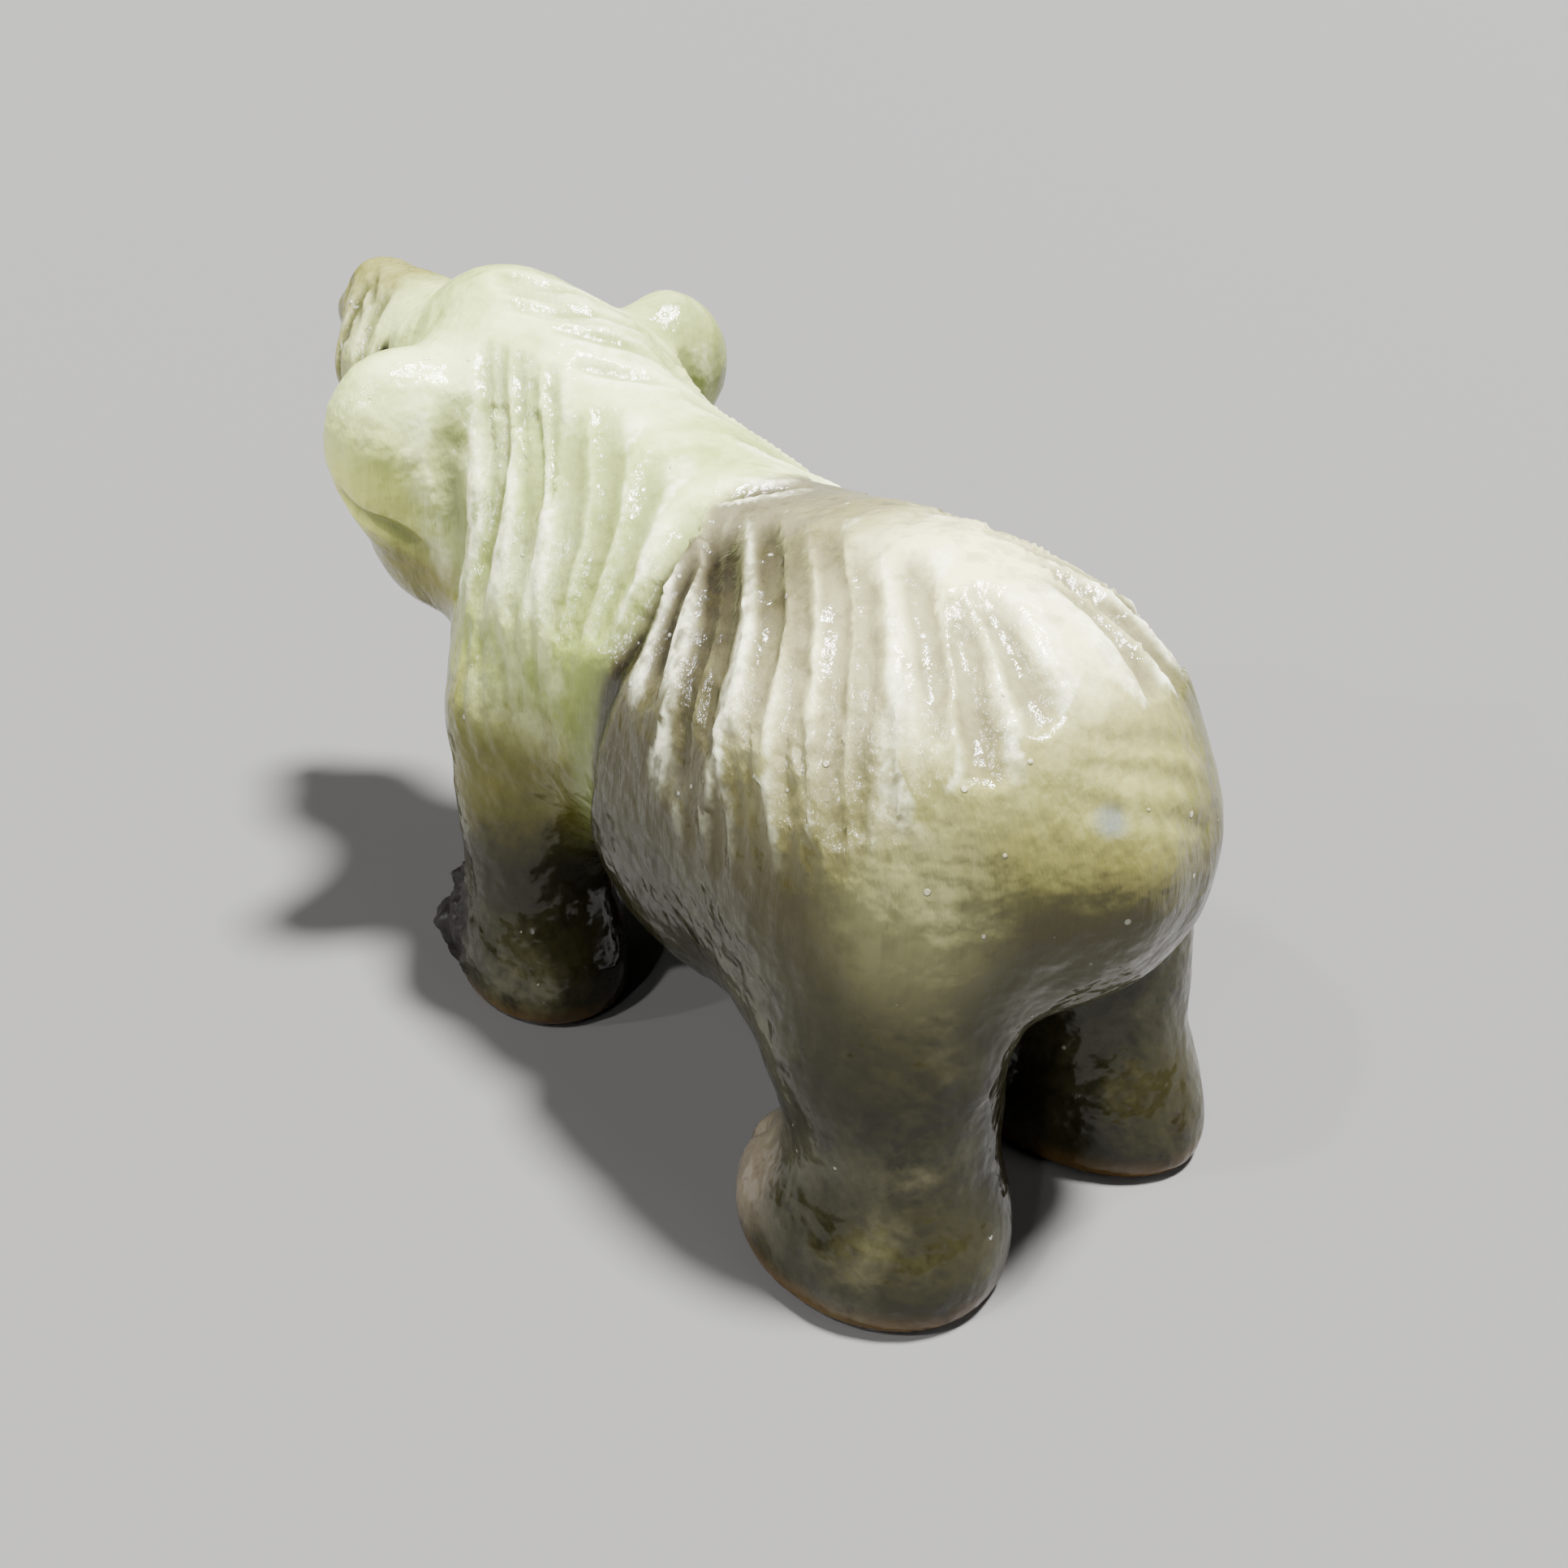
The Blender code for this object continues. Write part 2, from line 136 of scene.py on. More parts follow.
def ballDistance(points, centre, radii, turn):
    angle = np.radians(turn)
    turned = np.array(((np.cos(angle), -np.sin(angle), 0), (np.sin(angle), np.cos(angle), 0), (0, 0, 1)))
    local = (points - np.array(centre)) @ turned
    radii = np.array(radii)
    scaled = np.sqrt(((local / radii) ** 2).sum(-1))
    slope = np.sqrt(((local / radii**2) ** 2).sum(-1))
    return scaled * (scaled - 1) / np.maximum(slope, 1e-9)


def limbDistance(points, start, end, startRadius, endRadius):
    along = np.array(end) - np.array(start)
    taper = startRadius - endRadius
    lengthSquared = along @ along
    coneSquared = lengthSquared - taper * taper
    fromStart = points - np.array(start)
    y = fromStart @ along
    z = y - lengthSquared
    across = ((fromStart * lengthSquared - y[..., None] * along) ** 2).sum(-1)
    ySquared = y * y * lengthSquared
    zSquared = z * z * lengthSquared
    edge = np.sign(taper) * taper * taper * across
    side = (np.sqrt(across * coneSquared / lengthSquared) + y * taper) / lengthSquared
    nearEnd = np.sign(z) * coneSquared * zSquared > edge
    nearStart = np.sign(y) * coneSquared * ySquared < edge
    atEnd = np.sqrt(across + zSquared) / lengthSquared - endRadius
    atStart = np.sqrt(across + ySquared) / lengthSquared - startRadius
    return np.where(nearEnd, atEnd, np.where(nearStart, atStart, side - startRadius))


def massDistance(points, mass):
    if mass[0] == "ball":
        return ballDistance(points, mass[1], mass[2], mass[4])
    return limbDistance(points, *mass[1:5])


def joined(first, second, blend):
    if blend <= 0:
        return np.minimum(first, second)
    share = np.clip(0.5 + 0.5 * (second - first) / blend, 0, 1)
    return second + (first - second) * share - blend * share * (1 - share)


def hollowed(first, second, blend):
    return -joined(-first, second, blend)


def groupDistance(points, masses):
    found = None
    for mass in masses:
        distance = massDistance(points, mass)
        blend = mass[3] if mass[0] == "ball" else mass[5]
        found = distance if found is None else joined(found, distance, blend)
    return found


def pairedGroups(side):
    form = bearForm
    ear = form["ears"][side]
    return (
        ([mirroredMass(form["cheek"], side)], form["cheek"][3]),
        ([mirroredMass(form["brow"], side)], form["brow"][3]),
        ([ear], ear[3]),
        ([mirroredMass(m, side) for m in form["frontLeg"]], form["frontLegBlend"]),
        ([mirroredMass(m, side) for m in form["hindLegs"][side]], form["hindLegBlend"][side]),
        ([mirroredMass(form["eye"], side)], form["eye"][3]),
    )


def stoneDistance(points):
    # below zero inside the stone, in grid units
    found = groupDistance(points, bearForm["torso"] + bearForm["head"])
    for side in (1, -1):
        for masses, blend in pairedGroups(side):
            found = joined(found, groupDistance(points, masses), blend)
        for name in ("earHollow", "nostril"):
            hollow = bearForm[name]
            found = hollowed(found, massDistance(points, mirroredMass(hollow, side)), hollow[3])
    return hollowed(found, points[..., 2], bearForm["soleRounding"])


def settled(points, stage):
    # moved onto the form along its own slope
    step = bearForm["slopeStep"]
    for _ in range(bearForm["settleSteps"][stage]):
        distance = stoneDistance(points)
        slope = np.stack([stoneDistance(points + o) - distance for o in np.eye(3) * step], -1)
        slope /= np.linalg.norm(slope, axis=-1, keepdims=True)
        points = points - slope * distance[:, None]
    return points


def pointsOf(data):
    points = np.empty(len(data.vertices) * 3, np.float32)
    data.vertices.foreach_get("co", points)
    return points.reshape(-1, 3).astype(float)


def setPoints(data, points):
    data.vertices.foreach_set("co", points.astype(np.float32).ravel())
    data.update()


def applied(piece):
    bpy.context.view_layer.update()
    graph = bpy.context.evaluated_depsgraph_get()
    data = bpy.data.meshes.new_from_object(piece.evaluated_get(graph))
    piece.modifiers.clear()
    piece.data = data
    return data


def addBall(mesh, centre, radii, turn=0.0):
    place = Matrix.Translation(Vector(centre)) @ Matrix.Rotation(np.radians(turn), 4, "Z")
    place = place @ Matrix.Diagonal((*radii, 1))
    bmesh.ops.create_uvsphere(mesh, u_segments=32, v_segments=20, radius=1, matrix=place)


def addLimb(mesh, start, end, startRadius, endRadius):
    start, end = Vector(start), Vector(end)
    addBall(mesh, start, (startRadius,) * 3)
    addBall(mesh, end, (endRadius,) * 3)
    turn = (end - start).to_track_quat("Z", "Y").to_matrix().to_4x4()
    bmesh.ops.create_cone(
        mesh, cap_ends=True, segments=32, radius1=startRadius, radius2=endRadius,
        depth=(end - start).length, matrix=Matrix.Translation((start + end) / 2) @ turn,
    )


def carveBear():
    mesh = bmesh.new()
    masses = bearForm["torso"] + bearForm["head"]
    for side in (1, -1):
        for group, _ in pairedGroups(side):
            masses = masses + group
    for mass in masses:
        if mass[0] == "ball":
            addBall(mesh, mass[1], mass[2], mass[4])
        else:
            addLimb(mesh, *mass[1:5])
    data = bpy.data.meshes.new("carvedBear")
    mesh.to_mesh(data)
    mesh.free()
    bear = bpy.data.objects.new("carvedBear", data)
    bpy.context.scene.collection.objects.link(bear)
    for stage, rounds in bearForm["smoothRounds"].items():
        skin = bear.modifiers.new("skin", "REMESH")
        skin.mode = "VOXEL"
        skin.voxel_size = bearForm[stage + "Voxel"]
        data = applied(bear)
        mesh = bmesh.new()
        mesh.from_mesh(data)
        for _ in range(rounds):
            bmesh.ops.smooth_vert(
                mesh, verts=mesh.verts, factor=0.5, use_axis_x=True, use_axis_y=True, use_axis_z=True
            )
        mesh.to_mesh(data)
        mesh.free()
        setPoints(data, settled(pointsOf(data), stage))
    print("carved the form:", len(data.polygons), "faces")
    return bear


# The furrows: each family runs evenly from its first stroke to its last, on the bear's left side
# and mirrored to its right. Corners, half width and depth are in grid units.
furrowFamilies = {
    "mane": {
        "strokes": (
            ((6.2, -18.6, 29.4), (7.6, -17.6, 26.4), (8.0, -17.0, 22.8), (8.4, -16.8, 18.6)),
            ((4.6, -14.9, 28.8), (6.0, -12.3, 26.9), (7.5, -9.8, 24.8), (9.2, -9.1, 20.4)),
            ((1.9, -11.8, 29.2), (4.3, -8.0, 27.3), (6.6, -5.5, 25.1), (8.8, -4.4, 21.0)),
            ((3.0, -3.5, 27.0), (5.2, -1.8, 25.8), (7.3, -1.6, 24.1), (8.9, -1.5, 21.2)),
        ),
        "count": 7, "width": 1.15, "depth": 0.44, "share": (0.85, 1.0),
    },
    "flank": {
        "strokes": (
            ((2.8, -2.6, 27.0), (6.2, 2.0, 25.6), (8.3, 3.9, 23.8), (10.2, 5.2, 17.6)),
            ((1.9, 0.9, 27.3), (5.6, 6.4, 26.5), (7.6, 8.9, 24.9), (10.2, 11.6, 18.6)),
            ((1.3, 5.8, 27.9), (4.6, 10.2, 26.9), (6.5, 12.6, 25.1), (8.8, 15.1, 19.8)),
            ((1.4, 11.8, 27.5), (2.4, 14.9, 26.0), (2.7, 16.3, 25.0), (2.8, 17.6, 23.6)),
        ),
        "count": 9, "width": 1.05, "depth": 0.54, "share": (0.78, 0.98),
    },
    "saddle": {
        "strokes": (((2.4, -3.4, 27.2), (1.0, -2.4, 27.3), (-1.6, -1.6, 27.2)),),
        "count": 1, "width": 0.7, "depth": 0.3, "sides": (1,),
    },
    "ruff": {
        "strokes": (
            ((1.2, -21.4, 32.8), (-1.6, -20.6, 32.2), (-4.6, -20.4, 30.4)),
            ((2.0, -15.2, 30.4), (0.4, -13.6, 30.0), (-2.2, -12.4, 29.2)),
        ),
        "count": 4, "width": 0.7, "depth": 0.32, "sides": (1,),
    },
    "tailFan": {
        "strokes": (
            ((2.6, 17.4, 23.8), (-0.4, 18.4, 23.0), (-4.6, 18.0, 21.2)),
            ((2.6, 18.6, 21.6), (0.2, 19.6, 20.8), (-3.6, 19.4, 18.6)),
        ),
        "count": 3, "width": 0.6, "depth": 0.1, "sides": (1,),
    },
    "muzzle": {
        "strokes": (
            ((2.6, -37.2, 31.0), (4.5, -36.2, 28.9), (4.7, -35.6, 26.4)),
            ((2.2, -32.6, 31.0), (4.7, -31.8, 28.8), (5.2, -31.2, 25.6)),
        ),
        "count": 3, "width": 0.65, "depth": 0.36,
    },
    "mouth": {
        "strokes": (((4.9, -29.4, 24.4), (4.4, -34.0, 26.2), (0.8, -39.6, 27.2)),),
        "count": 1, "width": 0.6, "depth": 0.5,
    },
    "frontToes": {
        "strokes": (
            ((5.6, -16.2, 5.4), (5.2, -18.0, 3.2), (5.2, -18.6, 0.4)),
            ((9.4, -15.4, 5.4), (9.8, -17.0, 3.2), (9.9, -17.6, 0.4)),
        ),
        "count": 3, "width": 0.6, "depth": 0.45,
    },
    "fan": {
        "strokes": (((5.0, -1.0, 26.2), (6.6, 0.3, 25.0), (8.5, 1.2, 23.0), (9.5, 2.1, 21.0)),),
        "count": 1, "width": 0.9, "depth": 0.45,
    },
    "hindToes": {
        "strokes": (
            ((4.8, 8.0, 4.6), (4.6, 6.6, 3.0), (4.6, 5.9, 0.4)),
            ((8.8, 8.2, 4.6), (9.0, 6.8, 3.0), (9.2, 6.3, 0.4)),
        ),
        "count": 3, "width": 0.6, "depth": 0.45,
    },
}
valleyFamilies = {
    "shoulder": {
        "strokes": (
            ((6.6, -1.2, 24.6), (8.6, -1.4, 22.2), (9.7, -2.6, 18.4), (9.6, -4.2, 13.0), (8.6, -6.8, 8.4)),
        ),
        "count": 1, "width": 1.9, "depth": 0.6,
    },
}
# finer cuts, which the solid leaves out
gougeFamilies = {
    "crown": {
        "strokes": (
            ((1.6, -23.1, 33.2), (0.1, -21.3, 32.9), (-1.3, -20.2, 32.3)),
            ((2.7, -20.5, 32.2), (0.8, -18.0, 31.8), (-0.8, -16.9, 31.4)),
        ),
        "count": 6, "width": 0.45, "depth": 0.27, "sides": (1,),
    },
    "nape": {
        "strokes": (
            ((4.1, -19.2, 30.9), (5.7, -16.7, 28.3), (7.1, -15.1, 25.3)),
            ((2.6, -15.8, 30.3), (4.3, -13.3, 28.3), (6.9, -8.8, 25.2)),
        ),
        "count": 5, "width": 0.6, "depth": 0.38,
    },
    "underEar": {
        "strokes": (((11.5, -21.8, 24.5), (10.9, -21.0, 23.1), (10.2, -20.0, 22.7), (8.4, -18.7, 21.0)),),
        "count": 1, "width": 0.75, "depth": 0.4,
    },
    "snout": {
        "strokes": (
            ((2.2, -35.4, 31.8), (4.2, -32.2, 29.9)),
            ((4.0, -34.8, 30.1), (5.3, -33.2, 28.5)),
        ),
        "count": 3, "width": 0.42, "depth": 0.22,
    },
    "shoulder": {
        "strokes": (
            ((9.2, -13.8, 19.8), (10.4, -12.2, 17.0), (10.6, -11.1, 12.8)),
            ((8.3, -9.2, 23.3), (9.3, -7.5, 20.7), (9.6, -6.9, 18.2)),
        ),
        "count": 5, "width": 0.45, "depth": 0.13,
    },
    "flankRuns": {
        "strokes": (
            ((9.8, 4.0, 21.8), (10.3, 5.8, 19.6), (10.5, 6.6, 16.0)),
            ((9.1, 9.8, 22.9), (9.7, 11.0, 21.0), (10.1, 12.4, 17.5)),
            ((6.6, 12.8, 24.9), (7.5, 14.1, 23.1), (8.1, 15.4, 19.5)),
        ),
        "count": 9, "width": 0.8, "depth": 0.26,
    },
    "maneHairs": {
        "strokes": furrowFamilies["mane"]["strokes"],
        "count": 22, "width": 0.4, "depth": 0.17, "share": (0.25, 0.55),
    },
    "flankHairs": {
        "strokes": furrowFamilies["flank"]["strokes"],
        "count": 26, "width": 0.42, "depth": 0.2, "share": (0.25, 0.6),
    },
}
handOfTheCarver = {
    "strokePoints": 44,
    "wander": 0.16,  # how far a corner of a stroke strays, grid units
    "slip": 0.05,  # how far a stroke slips towards its neighbours, as a share of its family
    "pressure": (0.8, 1.15),  # the lightest and the heaviest hand
    "bow": 0.5,  # how far a corner of a stroke is rounded off
    "taper": 0.25,  # share of a stroke over which it runs out
    "seed": 7,
    "cutRoundness": 1.5,
    "crestRise": (0.55, 0.95),  # half widths from the middle of the furrow
    "crestFall": (2.0, 1.4),
    "crestDepths": (0.12, 0.35),  # furrows this deep begin to have, and fully have, a crest
    "soleEdge": (0.1, 1.2),  # the soles stay flat to the first height and are free above the second
    "grindingScale": 0.3,  # swells in one grid unit
    "crumbScale": 0.9,  # crumbs in one grid unit, on the broken toe
}


def alongCorners(corners, shares):
    places = np.linspace(0, 1, len(corners))
    shares = np.clip(shares, 0, 1)
    return np.stack([np.interp(shares, places, values) for values in corners.T], -1)


def bowedLine(corners, shares):
    straight = alongCorners(corners, shares)
    reach = 0.5 / (len(corners) - 1)
    beside = (alongCorners(corners, shares - reach) + alongCorners(corners, shares + reach)) / 2
    return straight + (beside - straight) * np.sin(np.pi * shares)[:, None] * handOfTheCarver["bow"]


def familyLines(family, side, hand):
    carver = handOfTheCarver
    strokes = np.array(family["strokes"])
    last = len(strokes) - 1
    shares = np.linspace(0, 1, carver["strokePoints"])
    for number in range(family["count"]):
        place = number / max(family["count"] - 1, 1) * last
        if 0 < number < family["count"] - 1:
            place += hand.uniform(-carver["slip"], carver["slip"]) * last
        before = min(int(place), last)
        after = min(before + 1, last)
        corners = strokes[before] + (strokes[after] - strokes[before]) * (place - before)
        corners = corners + hand.uniform(-1, 1, corners.shape) * carver["wander"]
        reach = hand.uniform(*family["share"]) if "share" in family else 1.0
        start = hand.uniform(0, 1 - reach) if "share" in family else 0.0
        line = bowedLine(corners, start + reach * shares) * np.array((side, 1, 1))
        yield settled(line, "lines"), hand.uniform(*carver["pressure"])


def strokeLines(name, families):
    # one mesh of edges whose points carry how wide and how deep the tool cuts there
    hand = np.random.default_rng(handOfTheCarver["seed"])
    points, edges, widths, depths = [], [], [], []
    for family in families.values():
        for side in family.get("sides", (1, -1)):
            for line, strength in familyLines(family, side, hand):
                shares = np.linspace(0, 1, len(line))
                runOut = np.clip(np.minimum(shares, 1 - shares) / handOfTheCarver["taper"], 0, 1)
                edges += [(len(points) + i, len(points) + i + 1) for i in range(len(line) - 1)]
                points += list(line)
                widths += [family["width"]] * len(line)
                depths += list(family["depth"] * strength * np.sqrt(runOut))
    data = bpy.data.meshes.new(name)
    data.from_pydata(points, edges, [])
    for word, values in (("halfWidth", widths), ("cutDepth", depths)):
        data.attributes.new(word, "FLOAT", "POINT").data.foreach_set("value", values)
    lines = bpy.data.objects.new(name, data)
    bpy.context.scene.collection.objects.link(lines)
    return lines


def furrowTree(name):
    # presses every line into the skin: the nearest point of a line says how wide and deep
    carver = handOfTheCarver
    tree = bpy.data.node_groups.new(name, "GeometryNodeTree")
    tree.is_modifier = True
    sockets = (
        ("Geometry", "NodeSocketGeometry", None),
        ("Furrow Lines", "NodeSocketObject", None),
        ("Depth Share", "NodeSocketFloat", 1.0),
        ("Crest Share", "NodeSocketFloat", 1.0),
        ("Hand Shake", "NodeSocketFloat", 0.3),
        ("Shake Size", "NodeSocketFloat", 1.6),
        ("Unevenness", "NodeSocketFloat", 0.0),
        ("Broken Depth", "NodeSocketFloat", 0.0),
        ("Seed", "NodeSocketFloat", 3.0),
        ("Stone", "NodeSocketMaterial", None),
    )
    for word, kind, value in sockets:
        socket = tree.interface.new_socket(word, in_out="INPUT", socket_type=kind)
        if value is not None:
            socket.default_value = value
    tree.interface.new_socket("Geometry", in_out="OUTPUT", socket_type="NodeSocketGeometry")
    given = addNode(tree, "NodeGroupInput", output="Geometry").node.outputs
    position = addNode(tree, "GeometryNodeInputPosition")
    lines = addNode(tree, "GeometryNodeObjectInfo", given["Furrow Lines"], output="Geometry")
    stored = {
        word: addNode(tree, "GeometryNodeInputNamedAttribute", word, data_type="FLOAT")
        for word in ("halfWidth", "cutDepth", "furrow", "crest", "grit")
    }

    # the hand shakes, so each point looks for its line a little off its own place
    place = addNode(tree, "ShaderNodeVectorMath", position, given["Seed"], operation="ADD")
    frequency = addNode(tree, "ShaderNodeMath", 1.0, given["Shake Size"], operation="DIVIDE")
    shake = addNode(tree, "ShaderNodeTexNoise", place, Scale=frequency, Detail=2.0, output="Color")
    centred = addNode(tree, "ShaderNodeVectorMath", shake, (0.5, 0.5, 0.5), operation="SUBTRACT")
    strayed = addNode(tree, "ShaderNodeVectorMath", centred, given["Hand Shake"], operation="SCALE")
    probe = addNode(tree, "ShaderNodeVectorMath", position, strayed, operation="ADD")
    nearest = addNode(tree, "GeometryNodeSampleNearest", lines, probe, domain="POINT")
    linePlace, halfWidth, bottom = (
        addNode(tree, "GeometryNodeSampleIndex", lines, source, nearest, data_type=kind, domain="POINT")
        for source, kind in (
            (position, "FLOAT_VECTOR"), (stored["halfWidth"], "FLOAT"), (stored["cutDepth"], "FLOAT")
        )
    )

    # the cut is round at the bottom and runs out softly one half width from its middle
    gap = addNode(tree, "ShaderNodeVectorMath", probe, linePlace, operation="DISTANCE")
    share = addNode(tree, "ShaderNodeMath", gap, halfWidth, operation="DIVIDE")
    within = addNode(tree, "ShaderNodeMath", share, 1.0, operation="MINIMUM")
    squared = addNode(tree, "ShaderNodeMath", within, within, operation="MULTIPLY")
    rounded = addNode(tree, "ShaderNodeMath", 1.0, squared, operation="SUBTRACT")
    inside = addNode(tree, "ShaderNodeMath", rounded, carver["cutRoundness"], operation="POWER")
    depth = addNode(tree, "ShaderNodeMath", inside, bottom, operation="MULTIPLY")
    cut = addNode(tree, "ShaderNodeMath", depth, given["Depth Share"], operation="MULTIPLY")

    # between two furrows stands a crest
    rise = addNode(tree, "ShaderNodeMapRange", share, *carver["crestRise"])
    fall = addNode(tree, "ShaderNodeMapRange", share, *carver["crestFall"])
    strong = addNode(tree, "ShaderNodeMapRange", bottom, *carver["crestDepths"])
    crest = addNode(tree, "ShaderNodeMath", rise, fall, operation="MINIMUM")
    crest = addNode(tree, "ShaderNodeMath", crest, strong, operation="MULTIPLY")
    crest = addNode(tree, "ShaderNodeMath", crest, given["Crest Share"], operation="MULTIPLY")

    # hand grinding leaves the skin softly uneven and a broken toe rough, but the soles flat
    height = addNode(tree, "ShaderNodeSeparateXYZ", position, output="Z")
    clear = addNode(tree, "ShaderNodeMapRange", height, *carver["soleEdge"])
    grinding = addNode(tree, "ShaderNodeTexNoise", place, Scale=carver["grindingScale"], Detail=3.0)
    grinding = addNode(tree, "ShaderNodeMath", grinding, 0.55, operation="SUBTRACT")
    uneven = addNode(tree, "ShaderNodeMath", grinding, given["Unevenness"], operation="MULTIPLY")
    crumbs = addNode(tree, "ShaderNodeTexVoronoi", place, Scale=carver["crumbScale"], feature="F1")
    crumbs = addNode(tree, "ShaderNodeMath", 0.5, crumbs, operation="SUBTRACT")
    crust = addNode(tree, "ShaderNodeMath", crumbs, stored["grit"], operation="MULTIPLY")
    broken = addNode(tree, "ShaderNodeMath", crust, given["Broken Depth"], operation="MULTIPLY")
    lift = addNode(tree, "ShaderNodeMath", uneven, broken, operation="ADD")
    lift = addNode(tree, "ShaderNodeMath", lift, clear, operation="MULTIPLY")
    push = addNode(tree, "ShaderNodeMath", lift, cut, operation="SUBTRACT")
    normal = addNode(tree, "GeometryNodeInputNormal")
    offset = addNode(tree, "ShaderNodeVectorMath", normal, push, operation="SCALE")

    geometry = given["Geometry"]
    for word, value in (("furrow", depth), ("crest", crest)):
        most = addNode(tree, "ShaderNodeMath", stored[word], value, operation="MAXIMUM")
        geometry = addNode(
            tree, "GeometryNodeStoreNamedAttribute", geometry,
            Name=word, Value=most, data_type="FLOAT", domain="POINT",
        )
    geometry = addNode(tree, "GeometryNodeSetPosition", geometry, Offset=offset)
    geometry = addNode(tree, "GeometryNodeRealizeInstances", geometry)
    geometry = addNode(tree, "GeometryNodeSetMaterial", geometry, Material=given["Stone"])
    addNode(tree, "NodeGroupOutput", geometry)
    return tree


def pressFurrows(bear, tree, lines, stone, sizes):
    press = bear.modifiers.new("press", "NODES")
    press.node_group = tree
    values = {"Furrow Lines": lines, "Stone": stone, **sizes}
    for item in tree.interface.items_tree:
        if item.item_type == "SOCKET" and item.in_out == "INPUT" and item.name in values:
            press[item.identifier] = values[item.name]


# The stone's colouring, with painted light and painted shade laid over it: how much of each colour lies
# where, in grid units.
# The pale front ends at a slanting boundary, given as y at each height z; behind it lies smoke, then khaki.
stoneZones = {
    "boundaryHeights": (4.0, 9.0, 14.0, 20.0, 23.0, 26.2, 27.0, 30.0),
    "boundaryPlaces": (-9.0, -8.0, -3.6, -2.6, -1.8, -1.6, -3.1, -2.6),
    "boundarySoftness": 0.6,
    "shadePlaces": (-4.0, 4.0, 8.0, 12.0, 16.0, 20.0),  # where along the body
    "shadeTops": (23.0, 23.2, 22.6, 21.6, 20.8, 20.6),  # the painted shade of the lower half begins at this height
    "smokeReach": 13.0,  # how far behind the boundary the smoke dies away
    # spots: centre, reach along x, y and z, softness of the edge, strength
    "spotsOfBothSides": {
        "yellow": (((3, 18, 15.5), (9, 8, 6.5), 0.5, 1.0),),  # round the root of the tail
        "haunch": (((8, 16.4, 17.4), (3, 3, 4), 0.5, 0.7),),
        # the eye: a dark spot of painted shade, as in a drilled eye
        "eye": (((4.6, -29.3, 28.2), (1.0, 1.0, 1.0), 0.4, 1.0),),
        # painted light: round the ear and on the chest the stone is painted lighter, for light shining
        # through it
        "glow": (((9.5, -22, 24), (4, 4, 3.2), 0.5, 1.0), ((8, -14, 14), (4, 3, 5), 0.5, 0.6)),
        "jaw": (((8, -22, 18.6), (5, 6, 3.8), 0.35, 1.0),),
    },
    "spotsOfOneSide": {
        # painted shade on the far ear
        "farEarShade": (((-8.6, -20.6, 27.2), (3.6, 4.0, 4.2), 0.5, 0.8),),
        "palm": (((9.5, 8.6, 2.6), (2.6, 3.0, 2.2), 0.5, 1.0),),  # greyer front of the left hind paw
        "grit": (((10.0, -15.6, 3.4), (3.2, 3.4, 3.9), 0.3, 1.0),),  # broken toe
        "flash": (((1.6, 19.4, 20.9), (0.6, 0.8, 0.5), 0.6, 0.6),),  # the one bluish gleam, painted into the colour
    },
}


def ramp(values, start, end):
    share = np.clip((values - start) / (end - start), 0, 1)
    return share * share * (3 - 2 * share)


def spotWeight(points, centre, reach, softness, strength):
    far = np.linalg.norm((points - np.array(centre)) / np.array(reach), axis=-1)
    return strength * ramp(-far, -1 - softness, -1 + softness)


def zoneWeights(points):
    x, y, z = points.T
    behind = y - np.interp(z, stoneZones["boundaryHeights"], stoneZones["boundaryPlaces"])
    body = ramp(behind, -stoneZones["boundarySoftness"], stoneZones["boundarySoftness"])
    front = 1 - body
    shadeTop = np.interp(y, stoneZones["shadePlaces"], stoneZones["shadeTops"])
    coat = (0.8 + 0.2 * body) * ramp(y, -20.2, -16) * ramp(z, 15, 20)
    crown = 0.5 * ramp(z, 27, 30) * ramp(y, -25, -22)
    snout = 0.2 * ramp(-y, 30, 32)
    weights = {
        "body": body,
        "smoke": body * ramp(-behind, -stoneZones["smokeReach"], -1.5) * ramp(z, 8, 15),
        "cream": body * ramp(y, 3, 9) * ramp(z - 0.45 * np.maximum(y - 12, 0), 20.5, 24.5),
        # painted shade, partly also darker stone: the body is painted darker towards the bottom, where the
        # light from above falls off
        "shade": body * ramp(shadeTop - z, -1.0, 4.0),
        "low": body * ramp(shadeTop - z, 2.5, 11.0),
        "chest": front * ramp(-z, -22, -14) * ramp(-np.abs(y + 12), -11, -8),
        "leg": ramp(-z, -13, -8) * ramp(-y, -3, 1),
        "sole": ramp(-z, -1.6, -0.2),
        # painted light: the top of the head and neck is painted lighter, as if lit from above
        "litTop": 0.4 * front * ramp(z, 24, 29),
        "muzzle": 0.9 * ramp(-y, 29, 34),
        # painted shade: the far side of the rump is painted darker, where it is turned away from the light
        "farSideShade": 0.95 * ramp(-x, 1, 7) * ramp(y, 8, 14) * ramp(z, 12, 16),
        "hair": ramp(z, 13, 19),  # combed with fine scratches
        "ridged": np.maximum(coat, np.maximum(snout, crown)),  # where the crests get a painted highlight
        "speckle": body * ramp(z, 11, 15) * ramp(-z, -25, -21),  # more pits with a painted glint in them
    }
    bothSides = np.stack((np.abs(x), y, z), -1)
    for places, spots in ((bothSides, "spotsOfBothSides"), (points, "spotsOfOneSide")):
        for word, sizes in stoneZones[spots].items():
            weights[word] = np.max([spotWeight(places, *size) for size in sizes], axis=0)
    return weights


def markZones(bear):
    for word, weight in zoneWeights(pointsOf(bear.data)).items():
        bear.data.attributes.new(word, "FLOAT", "POINT").data.foreach_set("value", weight)
    for word in ("furrow", "crest"):
        bear.data.attributes.new(word, "FLOAT", "POINT")
    print("marked the colours:", len(bear.data.attributes), "attributes")
